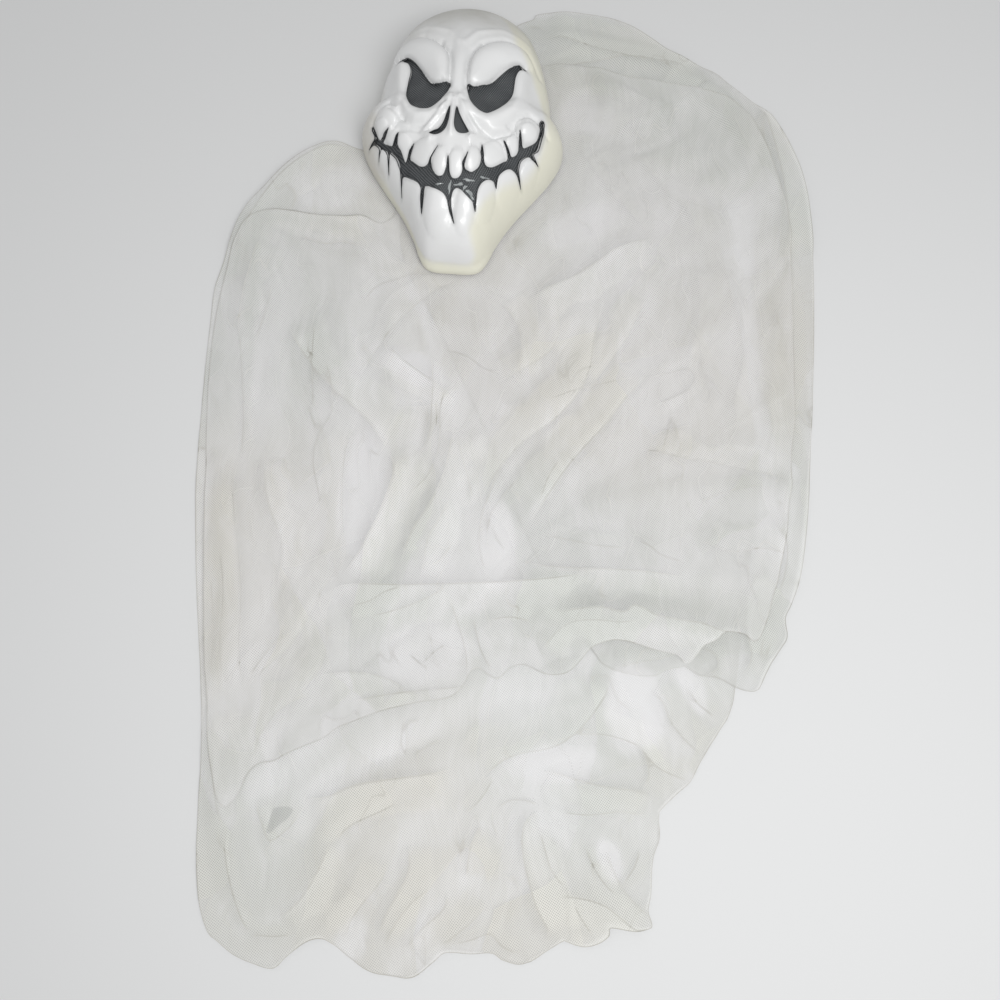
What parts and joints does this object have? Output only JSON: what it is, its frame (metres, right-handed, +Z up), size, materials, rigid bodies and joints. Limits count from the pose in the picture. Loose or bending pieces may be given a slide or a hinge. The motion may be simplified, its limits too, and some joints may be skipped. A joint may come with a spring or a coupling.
{
  "type": "hanging ghost decoration",
  "caption": "Half-head skull mask with a stitched grin, backed by black net, with a long two-layer gown of sheer white net glued round its rim, laid out flat.",
  "frame": {"origin": "centre of the bounding box in plan, on the surface that the gown lies on", "axes": "+Z up from the table out of the face, +Y from the hem to the crown of the mask, +X to the right as the face is seen"},
  "size_m": [0.56, 0.873, 0.0848],
  "materials": {
    "ivory_plastic": "moulded ivory plastic with white over-spray, satin to glossy, black painted edges at the eyes and grin",
    "black_net": "fine black woven mesh, matt",
    "hot_glue": "clear hot-melt glue, set glossy",
    "sheer_net": "sheer off-white net, see-through in one layer and dense where it folds"
  },
  "bodies": {
    "gown": {"inner_gown": "sheer_net", "hood_veil": "sheer_net", "outer_cape": "sheer_net"},
    "mask": {"mask_shell": "ivory_plastic", "eye_net_left": "black_net", "eye_net_right": "black_net", "nose_net": "black_net", "grin_net": "black_net", "eye_glue_left": "hot_glue", "eye_glue_right": "hot_glue", "nose_glue": "hot_glue", "grin_glue": "hot_glue", "veil_band_left": "sheer_net", "veil_band_right": "sheer_net"}
  },
  "joints": [
    {"name": "mask_tilt", "type": "hinge", "parent": "gown", "child": "mask", "pos_m": [-0.035, 0.4223, 0.0046], "axis": [-1, 0, 0], "range_deg": [0, 60]}
  ]
}
